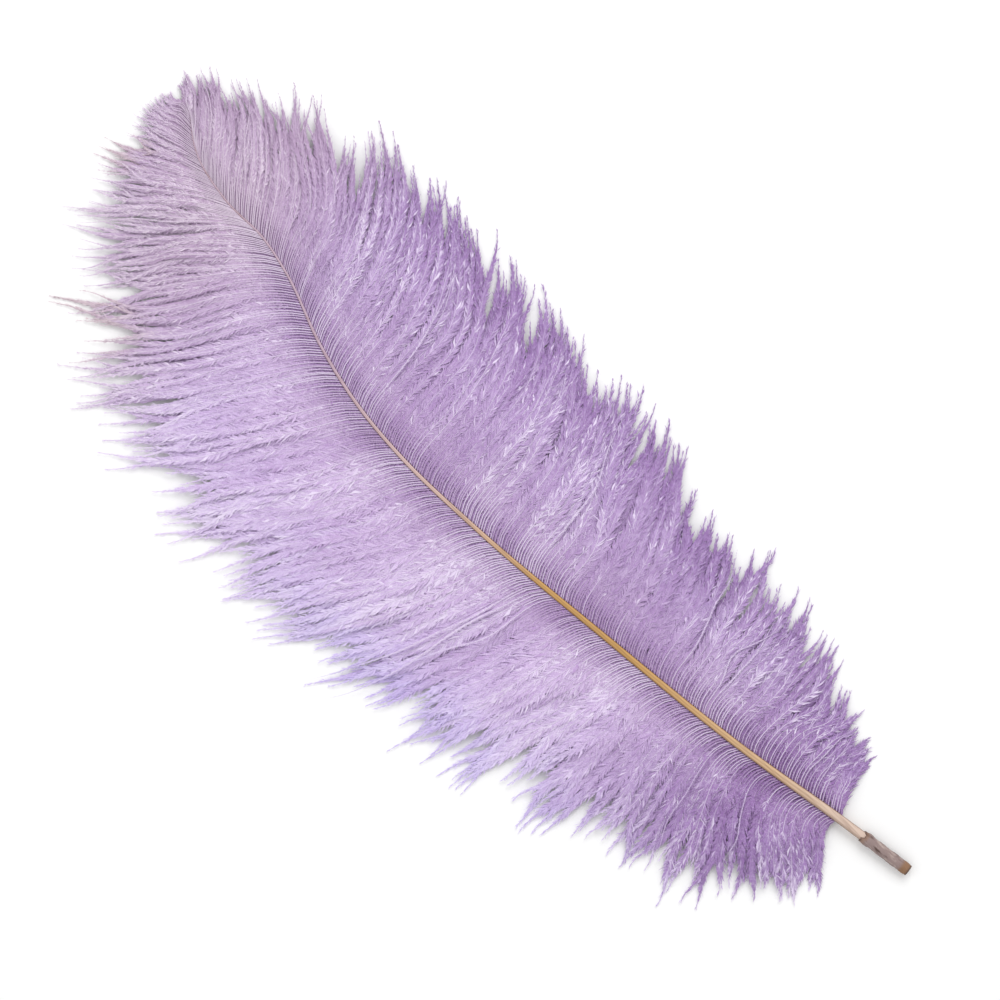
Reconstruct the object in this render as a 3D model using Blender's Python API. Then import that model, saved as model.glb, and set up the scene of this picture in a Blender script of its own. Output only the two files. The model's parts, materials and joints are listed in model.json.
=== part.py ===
"""A dyed ostrich plume, picked and cut at the quill, lying flat on a surface.

One grown piece: a tapering shaft with a soft vane on each side. Each vane is a row of locks that
share their valleys near the shaft and part into pointed tips at the edge.

Lengths are in metres. +X runs from the cut quill end to the tip, +Y towards the wide vane and
+Z up, with the origin under the middle of the plume, on the surface that it lies on.
"""

import math
import random
from typing import NamedTuple

import bmesh
import bpy

MM = 0.001

# Shaft: how far along the plume, how far it bows sideways, its centre's height and its radius.
SHAFT_KNOTS_MM = (
    (0.0, 0.0, 2.00, 1.55),
    (28.0, 5.0, 2.90, 1.45),
    (60.0, 11.3, 3.80, 1.40),
    (120.0, 19.8, 4.60, 1.20),
    (172.0, 26.0, 4.90, 0.90),
    (203.0, 27.7, 4.80, 0.76),
    (223.0, 26.6, 4.60, 0.68),
    (245.0, 22.3, 4.40, 0.58),
    (268.0, 14.9, 4.00, 0.46),
    (281.0, 12.6, 3.70, 0.41),
    (299.0, 13.0, 3.20, 0.35),
    (318.0, 8.2, 2.60, 0.28),
    (327.0, 1.6, 2.20, 0.25),
)
SHAFT_SIDES = 10
SHAFT_STEP = 6.0 * MM
SHEATH_LENGTH = 17.5 * MM
SHEATH_WALL = 0.40 * MM
SHEATH_SHOULDER = 0.6 * MM

# Vanes: from the first barb to the last one, and the locks that the barbs gather into.
VANE_START = 27.0 * MM
VANE_END = 326.0 * MM
LOCKS_PER_VANE = 38
TIP_CROWDING = 1.22
ROOT_OVERLAP = 0.12 * MM
BARB_SWING = 0.38
SPLIT_RANGE = (0.54, 0.76)
SHORT_LOCK = 0.85
TIP_DRIFT = 0.30
TIP_WIDTH = 0.08
LOCK_SEED = 11

# Height of a vane: it leaves the shaft thin, swells into a crown and thins out again at its edge.
SWELL_KNOTS_MM = (
    (0.00, 0.0),
    (0.12, 2.2),
    (0.30, 7.0),
    (0.45, 8.2),
    (0.65, 6.2),
    (0.85, 3.2),
    (1.00, 0.9),
)
ROOT_BELOW = 0.7
ROOT_ABOVE = 0.4
ROOT_FADES_BY = 0.3
THINNEST = 0.6 * MM
RESTS_FROM = 0.5
FULL_BARB = 58.0 * MM
LEAST_FULLNESS = 0.42
VALLEY_DEPTH = 0.55
EDGE_THICKNESS = 0.34

# Rows of points along a lock, as shares of its joined stretch and of its free tip.
JOINED_ROWS = (0.0, 0.14, 0.32, 0.52, 0.76, 1.0)
FREE_ROWS = (0.28, 0.58, 0.84, 1.0)

HORN_COLOUR = (0.55, 0.34, 0.13, 1.0)
HORN_ROUGHNESS = 0.38
VANE_COLOUR = (0.52, 0.36, 0.64, 1.0)
VANE_ROUGHNESS = 0.92


class GuideBarb(NamedTuple):
    """A barb that shapes the vane near it: millimetres along and across, and degrees from +X."""

    root: float
    tip_along: float
    tip_across: float
    leaves_at: float
    ends_at: float


WIDE_VANE = (
    GuideBarb(27, 14, 24, 60, 140),
    GuideBarb(50, 30, 48, 58, 120),
    GuideBarb(74, 66, 69, 58, 108),
    GuideBarb(109, 124, 84, 56, 80),
    GuideBarb(140, 165, 92, 52, 64),
    GuideBarb(168, 202, 96, 50, 53),
    GuideBarb(213, 256, 94, 45, 48),
    GuideBarb(240, 284, 86, 40, 46),
    GuideBarb(260, 304, 75, 34, 43),
    GuideBarb(277, 320, 58, 30, 37),
    GuideBarb(292, 331, 43, 26, 30),
    GuideBarb(306, 336, 27, 18, 20),
    GuideBarb(318, 338, 13, 6, 10),
    GuideBarb(326, 337, 3, -8, 0),
)
NARROW_VANE = (
    GuideBarb(27, 33, -14, -45, -105),
    GuideBarb(50, 52, -26, -45, -85),
    GuideBarb(74, 85, -32, -45, -60),
    GuideBarb(109, 134, -35, -45, -52),
    GuideBarb(140, 166, -37, -48, -47),
    GuideBarb(168, 194, -38, -50, -43),
    GuideBarb(213, 241, -39, -53, -40),
    GuideBarb(240, 273, -37, -60, -36),
    GuideBarb(262, 297, -30, -63, -32),
    GuideBarb(280, 315, -21, -52, -27),
    GuideBarb(296, 327, -14, -42, -24),
    GuideBarb(310, 333, -9, -40, -22),
    GuideBarb(320, 336, -5, -38, -20),
    GuideBarb(326, 337, -1, -34, -18),
)


def clear_scene():
    for item in list(bpy.data.objects):
        bpy.data.objects.remove(item, do_unlink=True)


def smooth_curve(x, knots):
    """Values at x of a smooth curve through knots, each of them an x and its values."""
    last = len(knots) - 2
    i = next((k for k in range(last) if x < knots[k + 1][0]), last)

    def slope(k):
        before = knots[max(k - 1, 0)]
        here = knots[k]
        after = knots[min(k + 1, len(knots) - 1)]
        gap_before = here[0] - before[0]
        gap_after = after[0] - here[0]
        slopes = []
        for value_before, value, value_after in zip(before[1:], here[1:], after[1:]):
            rise_before = (value - value_before) / gap_before if gap_before else 0.0
            rise_after = (value_after - value) / gap_after if gap_after else 0.0
            if not gap_before:
                rise_before = rise_after
            if not gap_after:
                rise_after = rise_before
            total = (gap_before + gap_after) or 1.0
            slopes.append((rise_before * gap_after + rise_after * gap_before) / total)
        return slopes

    span = knots[i + 1][0] - knots[i][0]
    f = (x - knots[i][0]) / span
    weights = (
        2 * f**3 - 3 * f**2 + 1,
        (f**3 - 2 * f**2 + f) * span,
        -2 * f**3 + 3 * f**2,
        (f**3 - f**2) * span,
    )
    parts = zip(knots[i][1:], slope(i), knots[i + 1][1:], slope(i + 1))
    return [sum(w * v for w, v in zip(weights, values)) for values in parts]


def ease(x):
    """A smooth rise from 0 to 1 as x goes from 0 to 1."""
    x = min(max(x, 0.0), 1.0)
    return x * x * (3 - 2 * x)


def shaft_at(along):
    """The shaft's sideways place, height and radius, this far along the plume."""
    return [value * MM for value in smooth_curve(along / MM, SHAFT_KNOTS_MM)]


def shaft_stations():
    """Places along the shaft for its rings, with the sheath's shoulder between two of them."""
    length = SHAFT_KNOTS_MM[-1][0] * MM
    count = round(length / SHAFT_STEP)
    even = [length * i / count for i in range(count + 1)]
    shoulder = (SHEATH_LENGTH, SHEATH_LENGTH + SHEATH_SHOULDER)
    clear = [x for x in even if min(abs(x - y) for y in shoulder) > SHAFT_STEP / 3]
    return sorted(clear + list(shoulder))


def make_shaft():
    """The shaft as a closed tube of rings, cut square at the quill end."""
    mesh = bmesh.new()
    rings = []
    for along in shaft_stations():
        across, height, radius = shaft_at(along)
        step = 1.0 * MM
        ahead, behind = shaft_at(along + step), shaft_at(along - step)
        turn = math.atan2(ahead[0] - behind[0], 2 * step)
        if along <= SHEATH_LENGTH:
            radius += SHEATH_WALL
        ring = []
        for side in range(SHAFT_SIDES):
            angle = 2 * math.pi * side / SHAFT_SIDES
            out = radius * math.cos(angle)
            point = (
                along - out * math.sin(turn),
                across + out * math.cos(turn),
                height + radius * math.sin(angle),
            )
            ring.append(mesh.verts.new(point))
        rings.append(ring)
    for ring, following in zip(rings, rings[1:]):
        for side in range(SHAFT_SIDES):
            beside = (side + 1) % SHAFT_SIDES
            mesh.faces.new((ring[side], ring[beside], following[beside], following[side]))
    mesh.faces.new(rings[0])
    mesh.faces.new(rings[-1])
    return mesh


def barb_curve(guides, root):
    """The four control points of the barb that grows from the shaft at this place, seen from above."""
    knots = [tuple(guide) for guide in guides]
    tip_along, tip_across, leaves_at, ends_at = smooth_curve(root / MM, knots)
    side = math.copysign(1.0, guides[0].tip_across)
    start = (root, shaft_at(root)[0] - side * ROOT_OVERLAP)
    end = (tip_along * MM, tip_across * MM)
    reach = BARB_SWING * math.dist(start, end)
    leaves, ends = math.radians(leaves_at), math.radians(ends_at)
    swing_out = (start[0] + reach * math.cos(leaves), start[1] + reach * math.sin(leaves))
    swing_in = (end[0] - reach * math.cos(ends), end[1] - reach * math.sin(ends))
    return start, swing_out, swing_in, end


def barb_point(guides, root, share):
    """Where that barb is, this share of the way to its tip, seen from above."""
    rest = 1.0 - share
    weights = (rest**3, 3 * rest**2 * share, 3 * rest * share**2, share**3)
    curve = barb_curve(guides, root)
    return tuple(sum(w * p[axis] for w, p in zip(weights, curve)) for axis in range(2))


def fullness(guides, root):
    """How thick the vane is here beside its thickest stretch. Short barbs make it thin."""
    start, _, _, end = barb_curve(guides, root)
    return min(max(math.dist(start, end) / FULL_BARB, LEAST_FULLNESS), 1.0)


def vane_heights(guides, root, share):
    """The vane's underside and its thickness at a barb's root and share."""
    _, height, radius = shaft_at(root)
    under = (height - ROOT_BELOW * radius) * (1.0 - ease(share / RESTS_FROM))
    at_root = (ROOT_BELOW + ROOT_ABOVE) * radius * (1.0 - ease(share / ROOT_FADES_BY))
    swell = smooth_curve(share, SWELL_KNOTS_MM)[0] * MM * fullness(guides, root)
    return under, max(at_root + swell, THINNEST)


def lock_roots():
    """Places along the shaft where one lock ends and the next begins, closer towards the tip."""
    span = VANE_END - VANE_START
    shares = [1.0 - (1.0 - i / LOCKS_PER_VANE) ** TIP_CROWDING for i in range(LOCKS_PER_VANE + 1)]
    return [VANE_START + span * share for share in shares]


class LockRow(NamedTuple):
    """One row of points across a lock: its two edges above and below, and its ridge."""

    near_top: object
    near_under: object
    ridge: object
    far_top: object
    far_under: object


def joined_rows(mesh, guides, roots, splits):
    """Rows of the stretch where neighbouring locks share their valleys, one list for each lock."""

    def edge(number, row):
        share = row * splits[number]
        x, y = barb_point(guides, roots[number], share)
        under, thick = vane_heights(guides, roots[number], share)
        top = under + thick * (1.0 - VALLEY_DEPTH * ease(row))
        return mesh.verts.new((x, y, top)), mesh.verts.new((x, y, under))

    edges = [[edge(number, row) for row in JOINED_ROWS] for number in range(len(roots))]
    locks = []
    for number in range(len(roots) - 1):
        middle = (roots[number] + roots[number + 1]) / 2
        split = (splits[number] + splits[number + 1]) / 2
        rows = []
        for index, row in enumerate(JOINED_ROWS):
            x, y = barb_point(guides, middle, row * split)
            under, thick = vane_heights(guides, middle, row * split)
            ridge = mesh.verts.new((x, y, under + thick))
            rows.append(LockRow(*edges[number][index], ridge, *edges[number + 1][index]))
        locks.append(rows)
    return locks


def free_rows(mesh, guides, roots, splits, chance):
    """Rows of each lock's free tip, which narrows to a point. One list for each lock."""
    locks = []
    for number in range(len(roots) - 1):
        middle = (roots[number] + roots[number + 1]) / 2
        tip = 1.0 if number % 3 == 0 else chance.uniform(SHORT_LOCK, 1.0)
        drift = chance.uniform(-TIP_DRIFT, TIP_DRIFT)
        rows = []
        for row in FREE_ROWS:
            narrow = TIP_WIDTH + (1.0 - TIP_WIDTH) * (1.0 - row)
            points = []
            for root, split in ((roots[number], splits[number]), (roots[number + 1], splits[number + 1])):
                share = split + row * (tip - split)
                points.append(barb_point(guides, root, share))
            split = (splits[number] + splits[number + 1]) / 2
            share = split + row * (tip - split)
            centre = barb_point(guides, middle, share)
            width = [points[1][axis] - points[0][axis] for axis in range(2)]
            centre = [centre[axis] + drift * row**2 * width[axis] for axis in range(2)]
            under, thick = vane_heights(guides, middle, share)
            verts = []
            for point in points:
                x, y = (centre[axis] + narrow * (point[axis] - centre[axis]) for axis in range(2))
                verts.append(mesh.verts.new((x, y, under + thick * EDGE_THICKNESS)))
                verts.append(mesh.verts.new((x, y, under)))
            ridge = mesh.verts.new((*centre, under + thick))
            rows.append(LockRow(verts[0], verts[1], ridge, verts[2], verts[3]))
        locks.append(rows)
    return locks


def add_quad(mesh, a, b, c, d):
    mesh.faces.new((a, b, c))
    mesh.faces.new((a, c, d))


def add_end(mesh, row):
    """Closes the end of a lock with three triangles."""
    mesh.faces.new((row.near_under, row.far_under, row.ridge))
    mesh.faces.new((row.near_under, row.ridge, row.near_top))
    mesh.faces.new((row.far_under, row.far_top, row.ridge))


def make_vane(guides, chance):
    """One vane as a closed mesh: every lock's top, underside, free edges and ends."""
    mesh = bmesh.new()
    roots = lock_roots()
    splits = [chance.uniform(*SPLIT_RANGE) for _ in roots]
    joined = joined_rows(mesh, guides, roots, splits)
    free = free_rows(mesh, guides, roots, splits, chance)
    for number, (inner, outer) in enumerate(zip(joined, free)):
        rows = inner + outer
        for index, (row, following) in enumerate(zip(rows, rows[1:])):
            add_quad(mesh, row.near_top, following.near_top, following.ridge, row.ridge)
            add_quad(mesh, row.ridge, following.ridge, following.far_top, row.far_top)
            add_quad(mesh, row.near_under, row.far_under, following.far_under, following.near_under)
            parted = index >= len(inner) - 1
            if parted or number == 0:
                add_quad(mesh, row.near_top, row.near_under, following.near_under, following.near_top)
            if parted or number == len(joined) - 1:
                add_quad(mesh, row.far_top, following.far_top, following.far_under, row.far_under)
        add_end(mesh, rows[0])
        add_end(mesh, rows[-1])
    return mesh


def make_material(name, colour, roughness):
    material = bpy.data.materials.new(name)
    material.use_nodes = True
    shader = material.node_tree.nodes["Principled BSDF"]
    shader.inputs["Base Color"].default_value = colour
    shader.inputs["Roughness"].default_value = roughness
    shader.inputs["Metallic"].default_value = 0.0
    return material


def add_object(name, mesh, materials, slot):
    """Puts a mesh in the scene, its faces pointing out and all of them in one material slot."""
    bmesh.ops.recalc_face_normals(mesh, faces=mesh.faces)
    for face in mesh.faces:
        face.material_index = slot
    data = bpy.data.meshes.new(name)
    mesh.to_mesh(data)
    mesh.free()
    for material in materials:
        data.materials.append(material)
    item = bpy.data.objects.new(name, data)
    bpy.context.scene.collection.objects.link(item)
    return item


def join_to(body, guide):
    """Joins a guide solid to the body, and keeps the guide itself out of the model."""
    union = body.modifiers.new(guide.name, "BOOLEAN")
    union.operation = "UNION"
    union.solver = "EXACT"
    union.object = guide
    guide.hide_render = True
    guide.display_type = "WIRE"


def centre_on_surface(item):
    """Bakes the unions into the mesh and moves it so that the origin is under its middle."""
    bpy.context.view_layer.update()
    view = item.evaluated_get(bpy.context.evaluated_depsgraph_get())
    data = bpy.data.meshes.new_from_object(view)
    item.modifiers.clear()
    item.data = data
    points = [vertex.co for vertex in data.vertices]
    for axis in range(2):
        places = [point[axis] for point in points]
        middle = (min(places) + max(places)) / 2
        for point in points:
            point[axis] -= middle
    lowest = min(point[2] for point in points)
    for point in points:
        point[2] -= lowest
    data.update()


def main():
    clear_scene()
    materials = [
        make_material("quill_horn", HORN_COLOUR, HORN_ROUGHNESS),
        make_material("dyed_vane", VANE_COLOUR, VANE_ROUGHNESS),
    ]
    chance = random.Random(LOCK_SEED)
    feather = add_object("feather", make_shaft(), materials, 0)
    for name, guides in (("wide_vane", WIDE_VANE), ("narrow_vane", NARROW_VANE)):
        join_to(feather, add_object(name, make_vane(guides, chance), materials, 1))
    centre_on_surface(feather)


main()
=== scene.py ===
"""A lavender-dyed ostrich plume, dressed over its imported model.

The shaft carries two vanes of separate barbs, and every barb carries two rows of fine barbules.
Lengths are in metres. +X runs from the cut quill end to the tip, +Y towards the wide vane, +Z up.
"""

from __future__ import annotations

import json
import logging
import math
import random
from dataclasses import dataclass, field
from enum import Enum

import bpy
import numpy as np
from mathutils import Matrix, Vector

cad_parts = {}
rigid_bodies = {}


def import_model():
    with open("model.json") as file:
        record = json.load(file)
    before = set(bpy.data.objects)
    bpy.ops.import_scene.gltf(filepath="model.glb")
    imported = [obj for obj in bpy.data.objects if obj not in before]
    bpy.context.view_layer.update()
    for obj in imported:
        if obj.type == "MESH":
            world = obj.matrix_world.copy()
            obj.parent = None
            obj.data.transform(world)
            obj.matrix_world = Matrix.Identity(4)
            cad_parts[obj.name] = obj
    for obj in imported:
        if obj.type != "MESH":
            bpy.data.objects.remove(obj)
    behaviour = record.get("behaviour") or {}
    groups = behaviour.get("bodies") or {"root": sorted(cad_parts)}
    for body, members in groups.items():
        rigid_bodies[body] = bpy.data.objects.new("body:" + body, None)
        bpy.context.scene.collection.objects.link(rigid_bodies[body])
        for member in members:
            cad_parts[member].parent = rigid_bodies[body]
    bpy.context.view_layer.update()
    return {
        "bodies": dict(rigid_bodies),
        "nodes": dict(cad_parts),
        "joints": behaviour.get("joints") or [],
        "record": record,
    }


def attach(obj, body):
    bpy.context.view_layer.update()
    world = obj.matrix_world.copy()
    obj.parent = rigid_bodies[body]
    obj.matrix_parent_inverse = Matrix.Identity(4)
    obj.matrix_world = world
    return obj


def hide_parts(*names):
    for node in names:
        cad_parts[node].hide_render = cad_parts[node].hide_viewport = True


LOG = logging.getLogger("plume")
MM = 0.001
NODE = "feather"
BODY = "root"
Array = np.ndarray
Triple = tuple[float, float, float]
Knots = tuple[tuple[float, ...], ...]
Socket = bpy.types.NodeSocket


class Side(Enum):
    """The two vanes, by the sign of the side of the shaft that each grows on."""

    WIDE = 1.0
    NARROW = -1.0


class Slot(Enum):
    """The record's material slots."""

    VANE = "vane"
    SHAFT = "shaft"
    QUILL = "quill"


# Shaft: how far along the plume, how far it bows sideways, its centre's height and its radius.
SHAFT_KNOTS_MM = (
    (0.0, 0.0, 2.00, 1.55),
    (28.0, 5.0, 2.90, 1.45),
    (60.0, 11.3, 3.80, 1.40),
    (120.0, 19.8, 4.60, 1.20),
    (172.0, 26.0, 4.90, 0.90),
    (203.0, 27.7, 4.80, 0.76),
    (223.0, 26.6, 4.60, 0.68),
    (245.0, 22.3, 4.40, 0.58),
    (268.0, 14.9, 4.00, 0.46),
    (281.0, 12.6, 3.70, 0.41),
    (299.0, 13.0, 3.20, 0.35),
    (318.0, 8.2, 2.60, 0.28),
    (327.0, 1.6, 2.20, 0.25),
)

# Guide barbs: root, tip along, tip across, and the angles at which the barb leaves the shaft,
# then runs after its first bend, and ends.
GUIDES = {
    Side.WIDE: (
        (27, 14, 24, 56, 100, 140),
        (50, 30, 48, 50, 102, 120),
        (74, 66, 69, 47, 96, 108),
        (109, 124, 84, 45, 92, 80),
        (140, 165, 92, 44, 86, 64),
        (168, 202, 96, 43, 80, 53),
        (213, 256, 94, 40, 68, 48),
        (240, 284, 86, 36, 60, 46),
        (260, 304, 75, 32, 52, 43),
        (277, 320, 58, 28, 42, 37),
        (292, 331, 43, 24, 32, 30),
        (306, 336, 27, 18, 20, 20),
        (318, 338, 13, 6, 6, 10),
        (326, 337, 3, -8, -8, 0),
    ),
    Side.NARROW: (
        (27, 33, -14, -50, -70, -105),
        (50, 52, -26, -48, -94, -85),
        (74, 85, -32, -46, -94, -60),
        (109, 134, -35, -45, -88, -52),
        (140, 166, -37, -45, -90, -47),
        (168, 194, -38, -46, -92, -43),
        (213, 241, -39, -50, -92, -40),
        (240, 273, -37, -52, -86, -36),
        (262, 297, -30, -50, -74, -32),
        (280, 315, -21, -46, -60, -27),
        (296, 327, -14, -40, -48, -24),
        (310, 333, -9, -38, -42, -22),
        (320, 336, -5, -37, -38, -20),
        (326, 337, -1, -34, -34, -18),
    ),
}

# How far a vane stands above its underside, at shares of the way along a barb.
SWELL_KNOTS_MM = (
    (0.00, 0.0),
    (0.12, 2.2),
    (0.30, 7.0),
    (0.45, 8.2),
    (0.65, 6.2),
    (0.85, 3.2),
    (1.00, 0.9),
)

# The locks that the barbs gather into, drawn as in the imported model.
VANE_START = 27.0 * MM
VANE_END = 326.0 * MM
LOCKS_PER_VANE = 38
TIP_CROWDING = 1.22
SPLIT_RANGE = (0.54, 0.76)
SHORT_LOCK = 0.85
TIP_DRIFT = 0.30
LOCK_SEED = 11
LOCK_LEAN = np.array((0.0, 0.0, 0.3, 1.0))

# Where the plume's tip half begins, and the stretch over which its barbs grow finer.
TIP_HALF = 190 * MM
TIP_HALF_LENGTH = 90 * MM

# How far the down keeps off the floor, and the margin and span of the bake map.
LEAST_HEIGHT = 0.1 * MM
MAP_MARGIN = 0.01
MAP_SPAN = 0.98


def smooth_curve(x: Array, knots: Knots) -> Array:
    """Reads a smooth curve through knots.

    Args:
        x: Where to read the curve, any number of places.
        knots: Rows of a place and its values, in order.

    Returns:
        One row of values for each place.
    """
    table = np.asarray(knots, float)
    places, values = table[:, 0], table[:, 1:]
    gaps = np.diff(places)[:, None]
    rises = np.diff(values, axis=0) / gaps
    slopes = np.empty_like(values)
    slopes[1:-1] = (rises[:-1] * gaps[1:] + rises[1:] * gaps[:-1]) / (gaps[:-1] + gaps[1:])
    slopes[0], slopes[-1] = rises[0], rises[-1]
    i = np.clip(np.searchsorted(places, x, side="right") - 1, 0, len(gaps) - 1)
    span = gaps[i]
    f = ((np.asarray(x, float) - places[i])[:, None]) / span
    return (
        (2 * f**3 - 3 * f**2 + 1) * values[i]
        + (f**3 - 2 * f**2 + f) * span * slopes[i]
        + (3 * f**2 - 2 * f**3) * values[i + 1]
        + (f**3 - f**2) * span * slopes[i + 1]
    )


def ease(x: Array) -> Array:
    """Rises smoothly from 0 to 1 as x goes from 0 to 1."""
    x = np.clip(x, 0.0, 1.0)
    return x * x * (3 - 2 * x)


def unit(v: Array) -> Array:
    """Scales each row to length 1."""
    return v / np.maximum(np.linalg.norm(v, axis=-1, keepdims=True), 1e-12)


def ladder(strips: int, rows: int, points: int, closed: bool) -> Array:
    """Triangles between the rows of points of one or more strips.

    Args:
        strips: How many strips there are.
        rows: Rows of points in each strip.
        points: Points in each row.
        closed: Whether a row runs round to its first point.

    Returns:
        The triangles, as vertex numbers.
    """
    start = (np.arange(strips)[:, None] * rows + np.arange(rows - 1)[None, :]).ravel() * points
    above = start + points
    faces = []
    for near in range(points if closed else points - 1):
        far = (near + 1) % points
        faces.append(np.stack((start + near, start + far, above + far), 1))
        faces.append(np.stack((start + near, above + far, above + near), 1))
    return np.concatenate(faces)


def around(centre: Array, aside: Array, up: Array, sideways: Array, upward: Array) -> Array:
    """Rings of points about their centres.

    Args:
        centre: The centres.
        aside: Their sideways directions.
        up: Their up directions.
        sideways: How far each point is to the side of its centre, a row for each ring.
        upward: How far each is above it.

    Returns:
        The points, a row for each ring.
    """
    return centre[:, None, :] + sideways[:, :, None] * aside[:, None, :] + upward[:, :, None] * up[:, None, :]


def show(name: str, data: bpy.types.ID) -> bpy.types.Object:
    """Makes an object and links it to the scene.

    Args:
        name: Its name.
        data: Its mesh, light or camera.

    Returns:
        The object.
    """
    item = bpy.data.objects.new(name, data)
    bpy.context.scene.collection.objects.link(item)
    return item


@dataclass
class MeshParts:
    """Arrays of one mesh, gathered piece by piece.

    Attributes:
        points: Blocks of vertex places.
        faces: Blocks of triangles, as vertex numbers.
        maps: Blocks of map places, one for each vertex, on pieces that have a map.
        layers: Blocks of numbers for each named layer, one for each vertex.
        count: How many vertices there are so far.
    """

    points: list[Array] = field(default_factory=list)
    faces: list[Array] = field(default_factory=list)
    maps: list[Array] = field(default_factory=list)
    layers: dict[str, list[Array]] = field(default_factory=dict)
    count: int = 0

    def add(self, points: Array, faces: Array, places: Array | None = None, **layers: Array) -> None:
        """Adds a block of vertices and the triangles between them.

        Args:
            points: Vertex places, one row each.
            faces: Triangles, as numbers of this block's vertices.
            places: Map places, one row for each vertex, if the piece has a map.
            **layers: Numbers for each vertex, by the layer's name.
        """
        self.points.append(points)
        self.faces.append(faces + self.count)
        if places is not None:
            self.maps.append(places)
        for name, values in layers.items():
            self.layers.setdefault(name, []).append(values)
        self.count += len(points)

    def build(self, name: str, material: bpy.types.Material) -> bpy.types.Object:
        """Makes the object.

        Args:
            name: The piece's name.
            material: What it wears.

        Returns:
            The object, linked to the scene.
        """
        points = np.concatenate(self.points).astype(np.float32)
        faces = np.concatenate(self.faces).astype(np.int32)
        mesh = bpy.data.meshes.new(name)
        mesh.vertices.add(len(points))
        mesh.vertices.foreach_set("co", points.ravel())
        mesh.loops.add(faces.size)
        mesh.loops.foreach_set("vertex_index", faces.ravel())
        mesh.polygons.add(len(faces))
        mesh.polygons.foreach_set("loop_start", np.arange(0, faces.size, 3, dtype=np.int32))
        mesh.polygons.foreach_set("use_smooth", np.ones(len(faces), bool))
        mesh.update(calc_edges=True)
        if self.maps:
            places = np.concatenate(self.maps).astype(np.float32)
            mesh.uv_layers.new(name="OFBake").uv.foreach_set("vector", places[faces.ravel()].ravel())
        for layer, blocks in self.layers.items():
            values = np.concatenate(blocks).astype(np.float32)
            mesh.attributes.new(layer, "FLOAT", "POINT").data.foreach_set("value", values)
        mesh.materials.append(material)
        return show(name, mesh)


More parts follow.
